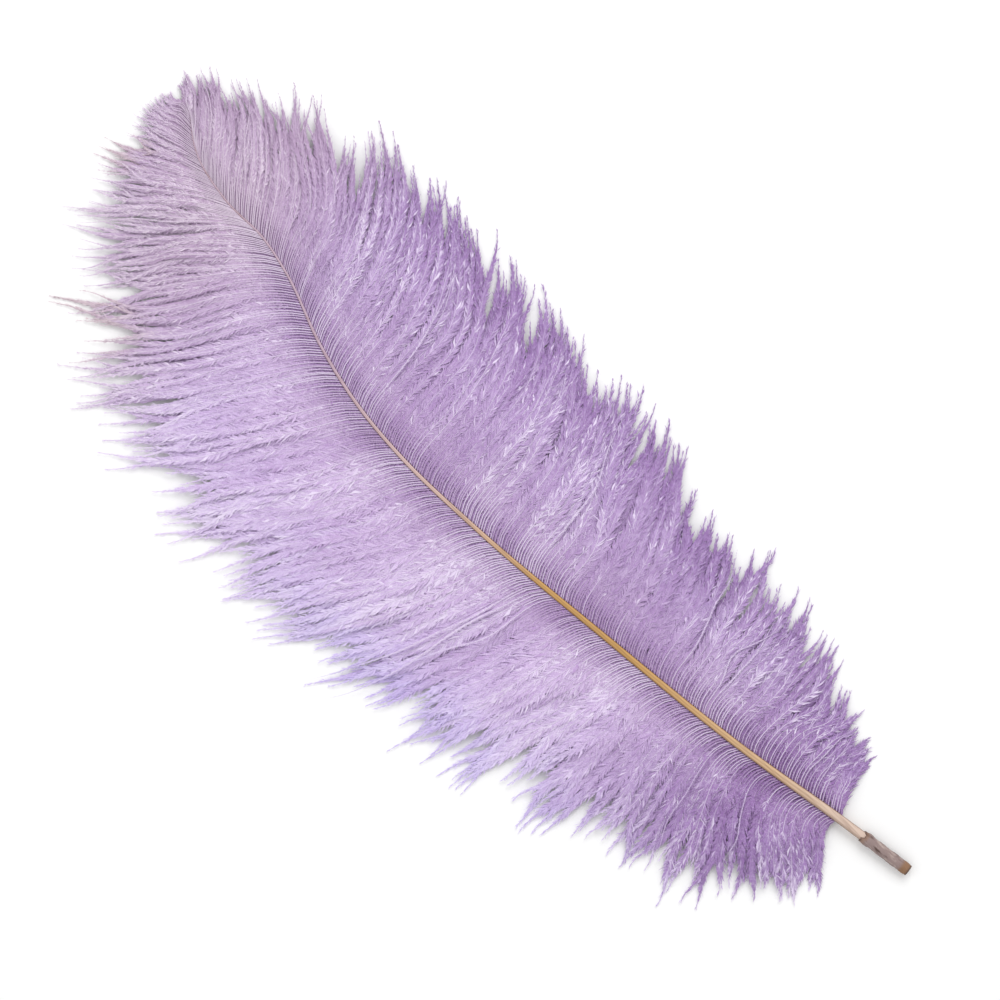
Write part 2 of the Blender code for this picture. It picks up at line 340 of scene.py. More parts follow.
@dataclass(frozen=True)
class ShadeTree:
    """Makes shader nodes and links them.

    Attributes:
        material: The material whose nodes they are.
    """

    material: bpy.types.Material

    @classmethod
    def start(cls, name: str) -> ShadeTree:
        """Starts a material with a plain Principled shader.

        Args:
            name: The material's name.

        Returns:
            The tree of its nodes.
        """
        material = bpy.data.materials.new(name)
        material.use_nodes = True
        return cls(material)

    @property
    def shader(self) -> bpy.types.Node:
        """The Principled shader."""
        return self.material.node_tree.nodes["Principled BSDF"]

    def node(self, kind: str, **settings: object) -> bpy.types.Node:
        """Adds a node.

        Args:
            kind: The node's type.
            **settings: Its properties, by name.

        Returns:
            The node.
        """
        made = self.material.node_tree.nodes.new(kind)
        for name, value in settings.items():
            setattr(made, name, value)
        return made

    def link(self, out: Socket, into: Socket) -> None:
        """Links two sockets."""
        self.material.node_tree.links.new(out, into)

    def layer(self, name: str) -> Socket:
        """Reads a layer of numbers of the mesh."""
        return self.node("ShaderNodeAttribute", attribute_name=name).outputs["Fac"]

    def place(self) -> Socket:
        """Reads where a point is on the plume."""
        return self.node("ShaderNodeTexCoord").outputs["Object"]

    def noise(self, scale: Triple, detail: float) -> Socket:
        """Adds a noise over the plume.

        Args:
            scale: How often it repeats along X, Y and Z, per metre.
            detail: How many finer octaves it has.

        Returns:
            The noise's value.
        """
        mapping = self.node("ShaderNodeMapping")
        mapping.inputs["Scale"].default_value = scale
        self.link(self.place(), mapping.inputs["Vector"])
        noise = self.node("ShaderNodeTexNoise")
        noise.inputs["Scale"].default_value = 1.0
        noise.inputs["Detail"].default_value = detail
        self.link(mapping.outputs["Vector"], noise.inputs["Vector"])
        return noise.outputs["Fac"]

    def fibres(self, layer: str) -> Socket:
        """Adds a noise that changes with a layer of numbers of the mesh.

        Args:
            layer: The layer's name.

        Returns:
            The noise's value.
        """
        noise = self.node("ShaderNodeTexNoise", noise_dimensions="1D")
        noise.inputs["Scale"].default_value = 1.0
        noise.inputs["Detail"].default_value = 1.0
        self.link(self.layer(layer), noise.inputs["W"])
        return noise.outputs["Fac"]

    def ramp(self, value: Socket, stops: tuple[tuple[float, Triple], ...]) -> Socket:
        """Turns a value into a colour.

        Args:
            value: From 0 to 1.
            stops: Places along the ramp and their colours.

        Returns:
            The colour.
        """
        ramp = self.node("ShaderNodeValToRGB")
        band = ramp.color_ramp
        while len(band.elements) < len(stops):
            band.elements.new(0.5)
        for element, (place, colour) in zip(band.elements, stops):
            element.position = place
            element.color = (*colour, 1.0)
        self.link(value, ramp.inputs["Fac"])
        return ramp.outputs["Color"]

    def spread(self, value: Socket, *ends: float) -> Socket:
        """Maps a value smoothly from one range to another.

        Args:
            value: The value to map.
            *ends: The range's two ends, and the two values that they become.

        Returns:
            The mapped value.
        """
        spread = self.node("ShaderNodeMapRange", interpolation_type="SMOOTHSTEP")
        for name, end in zip(("From Min", "From Max", "To Min", "To Max"), ends):
            spread.inputs[name].default_value = end
        self.link(value, spread.inputs["Value"])
        return spread.outputs["Result"]

    def times(self, a: Socket, b: Socket) -> Socket:
        """Multiplies two values.

        Args:
            a: The first value.
            b: The second value.

        Returns:
            Their product.
        """
        maths = self.node("ShaderNodeMath", operation="MULTIPLY")
        self.link(a, maths.inputs[0])
        self.link(b, maths.inputs[1])
        return maths.outputs["Value"]

    def blend(self, share: Socket, under: Socket, over: Triple, way: str = "MIX") -> Socket:
        """Lays a colour over another.

        Args:
            share: How much of it shows.
            under: The colour below.
            over: The colour above.
            way: How the two are mixed.

        Returns:
            The mixed colour.
        """
        mix = self.node("ShaderNodeMix", data_type="RGBA", blend_type=way)
        self.link(share, mix.inputs["Factor"])
        self.link(under, mix.inputs["A"])
        mix.inputs["B"].default_value = (*over, 1.0)
        return mix.outputs["Result"]

    def bump(self, height: Socket, depth: float) -> None:
        """Raises the surface by a value.

        Args:
            height: The value, from 0 to 1.
            depth: How high 1 stands, in metres.
        """
        bump = self.node("ShaderNodeBump")
        bump.inputs["Strength"].default_value = 1.0
        bump.inputs["Distance"].default_value = depth
        self.link(height, bump.inputs["Height"])
        self.link(bump.outputs["Normal"], self.shader.inputs["Normal"])


@dataclass(frozen=True)
class DyedDown:
    """The dyed barbs: greyer and paler beside the shaft, lavender in the middle, mauve at the edge.

    Attributes:
        beside_shaft: Colour where the barbs leave the shaft.
        inner: Colour of the inner third.
        middle: Colour of the full stretch.
        edge: Colour of the tips.
        pale: What the paler barbs turn to, and what the painted highlights on the stems and tips turn to.
        deep: What the darker barbs turn to, and what the painted shade in the gaps, the comb and the narrow
            vane turns to.
        mauve: What the colour is multiplied by where it is deepened, partly by deeper dyeing and partly as
            painted shade, towards the quill, the tip, beside the shaft and over the narrow vane.
        cool: Tint of the lower edge of the wide vane.
        bare: Tint where the dyeing took badly, near the tip.
        sheen: Strength of the soft glow at grazing angles.
    """

    beside_shaft: Triple = (0.62, 0.47, 0.68)
    inner: Triple = (0.68, 0.53, 0.78)
    middle: Triple = (0.67, 0.52, 0.80)
    edge: Triple = (0.77, 0.64, 0.91)
    pale: Triple = (0.88, 0.79, 0.96)
    deep: Triple = (0.50, 0.32, 0.62)
    mauve: Triple = (0.50, 0.37, 0.57)
    cool: Triple = (0.56, 0.47, 0.86)
    bare: Triple = (0.63, 0.50, 0.46)
    sheen: float = 0.1

    def make(self) -> bpy.types.Material:
        """Makes the material.

        Returns:
            The material.
        """
        tree = ShadeTree.start("dyed_down")
        along, tone = tree.layer("along"), tree.layer("tone")
        stops = ((0.0, self.beside_shaft), (0.22, self.inner), (0.55, self.middle), (1.0, self.edge))
        colour = tree.ramp(along, stops)
        # The tone layer holds each barb's own lightness together with painted highlights and painted shade.
        colour = tree.blend(tree.spread(tone, 0.45, 0.0, 0.0, 0.7), colour, self.deep)
        # Deepens the colour towards the quill, the tip, beside the shaft and over the narrow vane: partly
        # deeper dyeing, partly painted shade.
        colour = tree.blend(tree.layer("dye_and_shade"), colour, self.mauve, "MULTIPLY")
        fibres = tree.fibres("fibre")
        colour = tree.blend(tree.spread(fibres, 0.36, 0.54, 0.38, 0.0), colour, self.deep)
        colour = tree.blend(tree.spread(fibres, 0.52, 0.70, 0.0, 0.30), colour, self.pale)
        colour = tree.blend(tree.spread(tone, 0.55, 1.0, 0.0, 0.75), colour, self.pale)
        cool = tree.times(tree.layer("cool"), tree.spread(along, 0.5, 1.0, 0.0, 0.65))
        colour = tree.blend(cool, colour, self.cool)
        colour = tree.blend(tree.layer("bare"), colour, self.bare)
        tree.link(colour, tree.shader.inputs["Base Color"])
        rough = tree.spread(tree.noise((400.0, 400.0, 400.0), 2.0), 0.3, 0.7, 0.55, 0.8)
        tree.link(rough, tree.shader.inputs["Roughness"])
        tree.shader.inputs["Specular IOR Level"].default_value = 0.2
        tree.shader.inputs["Sheen Weight"].default_value = self.sheen
        tree.shader.inputs["Sheen Roughness"].default_value = 0.5
        return tree.material


@dataclass(frozen=True)
class Horn:
    """The shaft's horn: cream by the quill, amber along the middle, pinkish tan at the tip.

    Attributes:
        bone: Colour by the quill.
        cream: Colour where the vane begins.
        amber: Colour of the lower middle.
        blush: Colour of the upper middle.
        tan: Colour of the thin end.
        groove: Colour of the dark streaks, and of the painted shade in the groove, on the shaft's flanks and
            in the bore.
        roughness: How matt it is where it is smoothest.
        relief: How deep its streaks are.
    """

    bone: Triple = (0.68, 0.52, 0.43)
    cream: Triple = (0.67, 0.45, 0.27)
    amber: Triple = (0.58, 0.33, 0.10)
    blush: Triple = (0.68, 0.48, 0.40)
    tan: Triple = (0.56, 0.41, 0.53)
    groove: Triple = (0.17, 0.07, 0.025)
    roughness: float = 0.32
    relief: float = 0.08 * MM

    def make(self) -> bpy.types.Material:
        """Makes the material.

        Returns:
            The material.
        """
        tree = ShadeTree.start("shaft_horn")
        along = tree.layer("along")
        stops = (
            (0.08, self.bone),
            (0.16, self.cream),
            (0.32, self.amber),
            (0.44, self.amber),
            (0.55, self.blush),
            (0.74, self.tan),
        )
        colour = tree.ramp(along, stops)
        streaks = tree.noise((60.0, 1800.0, 1800.0), 3.0)
        colour = tree.blend(tree.spread(streaks, 0.45, 0.75, 0.0, 0.35), colour, self.groove)
        # Painted shade: the groove, the shaft's flanks and the bore are darkened.
        colour = tree.blend(tree.layer("groove"), colour, self.groove)
        tree.link(colour, tree.shader.inputs["Base Color"])
        rough = tree.spread(streaks, 0.3, 0.7, self.roughness, self.roughness + 0.22)
        tree.link(rough, tree.shader.inputs["Roughness"])
        tree.bump(streaks, self.relief)
        return tree.material


@dataclass(frozen=True)
class Sheath:
    """The dry papery sheath round the quill: grey-brown, with darker scars and paler flakes.

    Attributes:
        grey: The sheath's main colour.
        scar_and_shade: Colour of its marks, of its darker rims, and of the painted shade on its underside.
        flake: Colour of its raised flakes.
        horn: Colour of the bare horn by the cut end and at the inner rim.
        relief: How deep its grain is.
    """

    grey: Triple = (0.29, 0.21, 0.20)
    scar_and_shade: Triple = (0.085, 0.045, 0.035)
    flake: Triple = (0.52, 0.42, 0.38)
    horn: Triple = (0.26, 0.13, 0.055)
    relief: float = 0.18 * MM

    def make(self) -> bpy.types.Material:
        """Makes the material.

        Returns:
            The material.
        """
        tree = ShadeTree.start("quill_sheath")
        grain = tree.noise((220.0, 900.0, 900.0), 4.0)
        patches = tree.noise((260.0, 420.0, 420.0), 2.0)
        stops = ((0.28, self.scar_and_shade), (0.44, self.grey), (0.54, self.grey), (0.72, self.flake))
        colour = tree.ramp(grain, stops)
        colour = tree.blend(tree.spread(patches, 0.56, 0.7, 0.0, 0.6), colour, self.scar_and_shade)
        colour = tree.blend(tree.layer("bare_horn"), colour, self.horn)
        # Darkens the rims, and paints shade on the sheath's underside.
        colour = tree.blend(tree.layer("cut"), colour, self.scar_and_shade)
        tree.link(colour, tree.shader.inputs["Base Color"])
        tree.link(tree.spread(grain, 0.3, 0.7, 0.55, 0.85), tree.shader.inputs["Roughness"])
        tree.bump(grain, self.relief)
        return tree.material


@dataclass
class PlumePlan:
    """Where the shaft and the barbs run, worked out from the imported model's place.

    Attributes:
        origin: The middle of the quill's cut end, on the surface.
        shaft_knots: The shaft's knots, in millimetres.
        root_below: How far the vane's root reaches below the shaft's centre, in radii.
        root_above: How far it reaches above it, in radii.
        root_fades_by: Share of a barb by which the root's own thickness is gone.
        rests_from: Share of a barb from which the vane rests on the surface.
        full_barb: Length of a barb whose vane is at its thickest.
        least_fullness: Least share of that thickness.
        barb_swing: Length of a barb's handles, as a share of its chord.
        bend_length: Distance over which the first bend of a barb dies away.
    """

    origin: Array
    shaft_knots: Knots = SHAFT_KNOTS_MM
    root_below: float = 0.7
    root_above: float = 0.4
    root_fades_by: float = 0.3
    rests_from: float = 0.5
    full_barb: float = 58.0 * MM
    least_fullness: float = 0.42
    barb_swing: float = 0.38
    bend_length: float = 3.6 * MM

    @classmethod
    def from_frame(cls, frame: dict) -> PlumePlan:
        """Finds the quill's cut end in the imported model.


        Returns:
            The plan, with its origin there.
        """
        mesh = frame["nodes"][NODE].data
        points = np.empty(len(mesh.vertices) * 3)
        mesh.vertices.foreach_get("co", points)
        points = points.reshape(-1, 3)
        end = points[points[:, 0] < points[:, 0].min() + 0.3 * MM]
        middle = (end.min(0) + end.max(0)) / 2
        return cls(origin=np.array((middle[0], middle[1], 0.0)))

    @property
    def length(self) -> float:
        """The shaft's length along the plume."""
        return self.shaft_knots[-1][0] * MM

    def shaft(self, along: Array) -> tuple[Array, Array, Array, Array]:
        """Reads the shaft.

        Args:
            along: Distances from the cut end.

        Returns:
            Its places along and across, its centre's heights and its radii.
        """
        across, height, radius = (smooth_curve(along / MM, self.shaft_knots) * MM).T
        return along, across, height, radius

    def barb_controls(self, roots: Array, side: Side) -> Array:
        """Works out the barbs that grow at these roots, seen from above.

        Args:
            roots: Places along the shaft.
            side: The side of the shaft that they grow on.

        Returns:
            Four control points for each barb, as if its first bend were straight.
        """
        tip_along, tip_across, _, turns, ends = smooth_curve(roots / MM, GUIDES[side]).T
        _, across, _, radius = self.shaft(roots)
        shift = self.first_bend(roots, side)
        start = np.stack((roots + shift, across + side.value * 0.7 * radius), 1)
        end = np.stack((tip_along, tip_across), 1) * MM
        reach = self.barb_swing * np.linalg.norm(end - start, axis=1)[:, None]
        turns, ends = np.radians(turns), np.radians(ends)
        out = start + reach * np.stack((np.cos(turns), np.sin(turns)), 1)
        into = end - reach * np.stack((np.cos(ends), np.sin(ends)), 1)
        return np.stack((start, out, into, end), 1)

    def first_bend(self, roots: Array, side: Side) -> Array:
        """How far towards the tip the first bend carries each barb.

        Args:
            roots: Places along the shaft.
            side: The side of the shaft that they grow on.

        Returns:
            The distances.
        """
        _, _, leaves, turns, _ = np.radians(smooth_curve(roots / MM, GUIDES[side])).T
        steep = np.maximum(np.abs(np.sin(leaves)), 0.3)
        return self.bend_length * np.abs(np.sin(turns - leaves)) / steep

    def fullness(self, controls: Array) -> Array:
        """How thick the vane is at these barbs, beside its thickest stretch."""
        lengths = np.linalg.norm(controls[:, 3] - controls[:, 0], axis=1)
        return np.clip(lengths / self.full_barb, self.least_fullness, 1.0)

    def heights(self, roots: Array, shares: Array, full: Array) -> tuple[Array, Array]:
        """The vane's underside and thickness.

        Args:
            roots: Places along the shaft.
            shares: How far along the barb that grows there.
            full: The vane's fullness there.

        Returns:
            The underside's height and the thickness above it.
        """
        _, _, height, radius = self.shaft(roots)
        under = (height - self.root_below * radius) * (1.0 - ease(shares / self.rests_from))
        at_root = (self.root_below + self.root_above) * radius
        at_root = at_root * (1.0 - ease(shares / self.root_fades_by))
        swell = smooth_curve(np.clip(shares, 0.0, 1.0), SWELL_KNOTS_MM)[:, 0] * MM * full
        return under, at_root + swell


def bezier(controls: Array, shares: Array) -> Array:
    """Finds points on cubic curves.

    Args:
        controls: Four control points of each curve.
        shares: How far along each curve its point is.

    Returns:
        A point for each curve.
    """
    f = shares[:, None]
    r = 1.0 - f
    a, b, c, d = (controls[:, k] for k in range(4))
    return r**3 * a + 3 * r**2 * f * b + 3 * r * f**2 * c + f**3 * d


@dataclass(frozen=True)
class Locks:
    """The pointed locks that one vane's barbs gather into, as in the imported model.

    Attributes:
        roots: Places along the shaft where one lock ends and the next begins.
        splits: How far out neighbouring locks part, at each of those places.
        tips: How far out each lock ends.
        drifts: How far each lock's tip leans, in its own widths.
    """

    roots: Array
    splits: Array
    tips: Array
    drifts: Array

    @classmethod
    def on(cls, side: Side) -> Locks:
        """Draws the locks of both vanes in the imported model's order, and keeps one vane's.

        Args:
            side: Which vane's.

        Returns:
            Its locks.
        """
        chance = random.Random(LOCK_SEED)
        drawn = {}
        for vane in Side:
            splits = [chance.uniform(*SPLIT_RANGE) for _ in range(LOCKS_PER_VANE + 1)]
            ends = []
            for number in range(LOCKS_PER_VANE):
                tip = 1.0 if number % 3 == 0 else chance.uniform(SHORT_LOCK, 1.0)
                ends.append((tip, chance.uniform(-TIP_DRIFT, TIP_DRIFT)))
            drawn[vane] = (np.array(splits), *np.array(ends).T)
        share = 1.0 - (1.0 - np.arange(LOCKS_PER_VANE + 1) / LOCKS_PER_VANE) ** TIP_CROWDING
        return cls(VANE_START + (VANE_END - VANE_START) * share, *drawn[side])


def rolling(chance: np.random.Generator, count: int, width: float) -> Array:
    """Random numbers of spread 1 that change slowly from one to the next.

    Args:
        chance: Where the random numbers come from.
        count: How many.
        width: Over about how many of them they change.

    Returns:
        The numbers.
    """
    reach = np.arange(-3 * math.ceil(width), 3 * math.ceil(width) + 1)
    kernel = np.exp(-0.5 * (reach / width) ** 2)
    drawn = np.convolve(chance.normal(0.0, 1.0, count + len(reach) - 1), kernel, mode="valid")
    return drawn / math.sqrt((kernel**2).sum())


@dataclass
class Vane:
    """One vane: its barbs, gathered in strands and locks, and their barbules.

    Attributes:
        plan: The plume's plan.
        side: Which vane it is.
        down: The material of its barbs.
        barbs: How many barbs it has.
        seed: Starts its random draws.
        strand_barbs: About how many barbs cling together in one strand.
        low_share: Share of barbs that lie low and fill the valleys.
        stray_share: Share of barbs that run loose over the others.
        root_jitter: How unevenly the barbs' roots are spaced, in gaps.
        root_crowding: How much closer together they stand towards the tip, above 1.
        longest: How far the longest barbs reach, in lengths of their lock.
        shortening: How much less the shortest ones reach.
        gathering: Least and most share by which barbs close up to their lock's point.
        bunching: Least and most share by which barbs cling to their strand.
        own_sway: Spread of each barb's own sideways wave.
        shared_sway: Spread of the wave that neighbours share.
        stray_sway: Spread of the loose barbs' wave.
        curl_spread: Spread of the curl at the barbs' ends.
        usual_level: How high in the vane a usual barb lies, as a share of its thickness.
        stray_level: How high a loose barb lies.
        level_range: The lowest and highest that any barb lies.
        tone_spread: Spread of the barbs' own lightness.
        ramus_radius: Radius of a barb's stem at its root.
        ramus_steps: Rings of a barb's stem.
        web_half: How far the dense down reaches on either side of a barb.
        web_steps: Rows of that down.
        under_share: Share of barbules that grow below the dense down.
        fibre_gap: Distance between the finest fibres of the dense down.
        barbule_gap: Distance between barbules.
        barbule_length: Length of the longest barbules.
        barbule_lean: Angle between a barbule and its barb near the shaft, in degrees.
        barbule_width: Width of a barbule at its root.
        comb_length: How far out the barbules reach their full length.
        downy_length: How far past its start the vane is downy, with a comb that begins at once.
        farthest: How far across the plume the longest barbs reach.
        uneven_edge: How far short of that some of them stop.
    """

    plan: PlumePlan
    side: Side
    down: bpy.types.Material
    barbs: int = 345
    seed: int = 5
    strand_barbs: float = 3.0
    low_share: float = 0.30
    stray_share: float = 0.035
    root_jitter: float = 0.15
    root_crowding: float = 1.12
    longest: float = 1.09
    shortening: float = 0.26
    gathering: tuple[float, float] = (0.10, 0.50)
    bunching: tuple[float, float] = (0.12, 0.58)
    own_sway: float = 0.40 * MM
    shared_sway: float = 1.1 * MM
    stray_sway: float = 2.4 * MM
    curl_spread: float = 2.8 * MM
    usual_level: float = 0.60
    stray_level: float = 0.84
    level_range: tuple[float, float] = (0.06, 0.86)
    tone_spread: float = 0.10
    ramus_radius: float = 0.17 * MM
    ramus_steps: int = 22
    web_half: float = 1.15 * MM
    web_steps: int = 24
    under_share: float = 0.25
    fibre_gap: float = 0.25 * MM
    barbule_gap: float = 0.185 * MM
    barbule_length: float = 4.4 * MM
    barbule_lean: float = 42.0
    barbule_width: float = 0.20 * MM
    comb_length: float = 8.0 * MM
    downy_length: float = 25 * MM
    farthest: float = 101.0 * MM
    uneven_edge: float = 3.0 * MM

    def __post_init__(self) -> None:
        """Draws every barb's own numbers."""
        chance = np.random.default_rng(self.seed)
        n = self.barbs
        place = np.arange(n) / (n - 1) + chance.normal(0.0, self.root_jitter, n) / n
        share = 1.0 - (1.0 - np.sort(np.clip(place, 0.0, 1.0))) ** self.root_crowding
        self.roots = VANE_START + (VANE_END - VANE_START) * share
        self.tipward = ease((self.roots - TIP_HALF) / TIP_HALF_LENGTH)
        self.downy = 1.0 - ease((self.roots - VANE_START) / self.downy_length)
        self.controls = self.plan.barb_controls(self.roots, self.side)
        self.bend = self.plan.first_bend(self.roots, self.side)
        self.chord = np.linalg.norm(self.controls[:, 3] - self.controls[:, 0], axis=1)
        self.full = self.plan.fullness(self.controls)
        self.set_locks()
        self.set_strands(chance)
        low = chance.random(n) < self.low_share
        stray = ~low & (chance.random(n) < self.stray_share)

        def pick(usual: Array | float, for_low: Array | float, for_stray: Array | float) -> Array:
            """Takes each barb's number by whether it is a usual, a low or a loose one."""
            return np.where(stray, for_stray, np.where(low, for_low, usual))

        self.reach = self.tip * (self.longest - self.shortening * chance.random(n) ** 1.2)
        self.reach = self.reach * pick(1.0, 1.0, chance.uniform(1.0, 1.04, n))
        self.gather = pick(1.0, 0.25, 0.1) * chance.uniform(*self.gathering, n)
        self.bunch = pick(1.0, 1.0, 0.0) * chance.uniform(*self.bunching, n)
        sway = self.own_sway * rolling(chance, n, 1.0) + self.shared_sway * rolling(chance, n, 6.0)
        self.sway = pick(sway, sway, chance.normal(0.0, self.stray_sway, n))
        self.wave = rolling(chance, n, 12.0) * 2.5 + chance.normal(0.0, 0.25, n)
        self.ripple = rolling(chance, n, 5.0)
        level = self.usual_level + 0.10 * rolling(chance, n, 5.0) + 0.04 * chance.normal(0.0, 1.0, n)
        level = pick(level, level - chance.uniform(0.10, 0.24, n), self.stray_level)
        self.level = np.clip(level, *self.level_range)
        self.lift = pick(0.0, 0.0, chance.uniform(0.0, 0.3, n) * MM)
        tone = 0.50 + self.tone_spread * rolling(chance, n, 5.0) + chance.normal(0.0, self.tone_spread, n)
        # Low barbs are painted slightly darker, as shade in the valleys they fill; loose barbs are paler.
        self.tone = np.clip(pick(tone, tone - 0.05, tone + 0.15), 0.05, 0.95)
        fluff = chance.uniform(0.75, 1.1, n) * (1.0 - 0.42 * self.tipward)
        self.fluff = pick(fluff, fluff, 0.22)
        self.web = pick(1.0, 1.4, 0.15)
        self.breadth = pick(1.0, 1.4, 0.5)
        self.stem = pick(1.0, 1.0, 0.75)
        self.curl = pick(1.0, 0.5, 1.0) * chance.normal(0.0, self.curl_spread, n)
        room = self.farthest - chance.uniform(0.0, self.uneven_edge, n)
        inside = np.abs(self.paths()[:, :, 1] - self.plan.origin[1]) < room[:, None]
        self.reach = self.reach * inside.cumprod(axis=1).mean(1)
        self.lengths = np.linalg.norm(np.diff(self.paths(), axis=1), axis=2).sum(1)

    def paths(self) -> Array:
        """Follows every barb from root to tip.

        Returns:
            A row of points for each barb.
        """
        steps = 65
        barb, step = np.divmod(np.arange(self.barbs * steps), steps)
        return self.trace(barb, step / (steps - 1)).reshape(self.barbs, steps, 3)

    def set_locks(self) -> None:
        """Gives every barb its lock: where the lock parts from the next and where it points."""
        locks = Locks.on(self.side)
        own = np.clip(np.searchsorted(locks.roots, self.roots, side="right") - 1, 0, LOCKS_PER_VANE - 1)
        edges = self.plan.barb_controls(locks.roots, self.side)
        middles = (locks.roots[:-1] + locks.roots[1:]) / 2
        middle = self.plan.barb_controls(middles, self.side)
        lean = locks.drifts[:, None, None] * LOCK_LEAN[None, :, None]
        self.lock_controls = (middle + lean * np.diff(edges, axis=0))[own]
        self.split = ((locks.splits[:-1] + locks.splits[1:]) / 2)[own]
        self.tip = locks.tips[own]

    def set_strands(self, chance: np.random.Generator) -> None:
        """Gathers neighbouring barbs in strands, each with one line that they cling to.

        Args:
            chance: Where the random numbers come from.
        """
        strand = np.cumsum(chance.uniform(0.3, 1.7, self.barbs) / self.strand_barbs).astype(int)
        strand -= strand[0]
        middles = np.bincount(strand, self.roots) / np.maximum(np.bincount(strand), 1)
        self.strand_controls = self.plan.barb_controls(middles, self.side)[strand]

    def trace(self, barb: Array, share: Array) -> Array:
        """Follows barbs in space.

        Args:
            barb: Numbers of barbs.
            share: How far along each, from 0 at the shaft to 1 at its tip.

        Returns:
            A point for each.
        """
        s = share * self.reach[barb]
        own = bezier(self.controls[barb], s)
        strand = bezier(self.strand_controls[barb], s)
        lock = bezier(self.lock_controls[barb], s)
        cling = ease((share - 0.35) / 0.35) * (1.0 - 0.7 * ease((share - 0.70) / 0.30))
        cling = (self.bunch[barb] * cling)[:, None]
        flat = own + cling * (strand - own)
        parted = np.clip((s - self.split[barb]) / (self.tip[barb] - self.split[barb]), 0.0, 1.0)
        flat = flat + (self.gather[barb] * parted)[:, None] * (lock - flat)
        ahead = bezier(self.controls[barb], s + 0.01) - own
        across = unit(np.stack((-ahead[:, 1], ahead[:, 0]), 1))
        turn = 2.0 * math.pi * share + self.wave[barb]
        swing = self.sway[barb] * np.sin(turn) * ease(share / 0.6)
        swing = swing + self.curl[barb] * ease((share - 0.6) / 0.4) ** 2
        swing = swing + 0.20 * MM * np.sin(2.6 * turn + self.ripple[barb]) * ease((share - 0.12) / 0.4)
        flat = flat + across * (swing * self.full[barb])[:, None]
        flat[:, 0] -= self.bend[barb] * np.exp(-s * self.chord[barb] / self.plan.bend_length)
        under, thick = self.plan.heights(self.roots[barb], s, self.full[barb])
        level = 0.55 + (self.level[barb] - 0.55) * ease(share / 0.3)
        level = level + 0.045 * np.sin(2.1 * turn + 2.0 * self.ripple[barb]) * ease(share / 0.4)
        height = under + thick * level + self.lift[barb] * np.sin(math.pi * share)
        height = height + 0.25 * MM * ease(share / 0.1)
        return np.column_stack((flat + self.plan.origin[:2], height))

    def directions(self, barb: Array, share: Array) -> tuple[Array, Array, Array]:
        """Finds which way barbs run.

        Args:
            barb: Numbers of barbs.
            share: How far along each.

        Returns:
            Their directions ahead, sideways and up.
        """
        ahead = unit(self.trace(barb, share + 0.005) - self.trace(barb, share - 0.005))
        aside = unit(np.cross((0.0, 0.0, 1.0), ahead))
        return ahead, aside, np.cross(ahead, aside)

    def stations(self, stretch: range, steps: int, end: float) -> tuple[Array, ...]:
        """Spaces places evenly along barbs.

        Args:
            stretch: The barbs.
            steps: How many places each barb has.
            end: How far along the barb the last of them is.

        Returns:
            Each place's barb, its share of the way, its point, and its directions sideways and up.
        """
        barb = np.repeat(np.array(stretch), steps)
        share = np.tile(np.linspace(0.0, end, steps), len(stretch))
        _, aside, up = self.directions(barb, share)
        return barb, share, self.trace(barb, share), aside, up

    def place_on_map(self, barb: Array, share: Array, shift: Array, stretch: range) -> Array:
        """Gives every barb its own column of the map, from root to tip."""
        column = (barb - stretch.start + 0.5 + shift) / len(stretch)
        return np.stack((column, np.clip(share, 0.0, 1.0) * MAP_SPAN + MAP_MARGIN), 1)

    def tints(
        self, points: Array, barb: Array, share: Array, paler: Array | float, aside: Array | float
    ) -> dict[str, Array]:
        """Numbers that the material reads at each vertex.

        Args:
            points: The vertices.
            barb: The barb of each.
            share: How far along it each is.
            paler: How much paler or darker than its barb each is: its own variation, with painted highlights
                and painted shade.
            aside: How many fibres further on it is than its barb's own line.

        Returns:
            The layers, by name.
        """
        x, y, _ = (points - self.plan.origin).T
        edge = ease((share - 0.45) / 0.5)
        by_quill = ease((115 * MM - x) / (75 * MM))
        by_tip = ease((x - 250 * MM) / (50 * MM))
        by_shaft = 1.0 - ease(share / 0.35)
        # Darker towards the quill, the tip, beside the shaft and over the narrow vane: partly deeper dyeing,
        # partly painted shade.
        dye_and_shade = np.maximum(1.1 * by_quill, np.maximum(0.3 * by_tip, 0.47 * by_shaft))
        # Painted light and shade: the wide vane is painted lighter towards its edge and the narrow vane
        # darker, as light falls across the plume.
        if self.side is Side.WIDE:
            crisp = by_tip
            painted_vane_light = 0.12 * edge
            cool = ease((y - 45 * MM) / (40 * MM)) * ease((230 * MM - x) / (80 * MM))
            bare = ease((x - 255 * MM) / (50 * MM)) * edge
        else:
            crisp = np.maximum(by_tip, ease((share - 0.25) / 0.5))
            painted_vane_light = -0.22 * edge - 0.06
            cool = np.zeros(len(points))
            bare = 0.2 * ease((x - 290 * MM) / (40 * MM)) * edge
            dye_and_shade = np.maximum(dye_and_shade, (0.48 + 0.52 * edge) * (1.0 - 0.3 * by_tip))
        patch = ease((self.ripple[barb] + 0.2) / 1.2)
        return {
            "along": np.clip(share, 0.0, 1.0),
            "tone": np.clip(self.tone[barb] + painted_vane_light + paler * (1.0 + 0.8 * crisp), 0.0, 1.0),
            "fibre": 7.3 * barb + share * self.lengths[barb] / self.fibre_gap + aside,
            "cool": cool,
            "dye_and_shade": np.clip(dye_and_shade, 0.0, 1.0),
            "bare": np.maximum(0.28 * by_tip, 0.65 * bare * patch),
        }

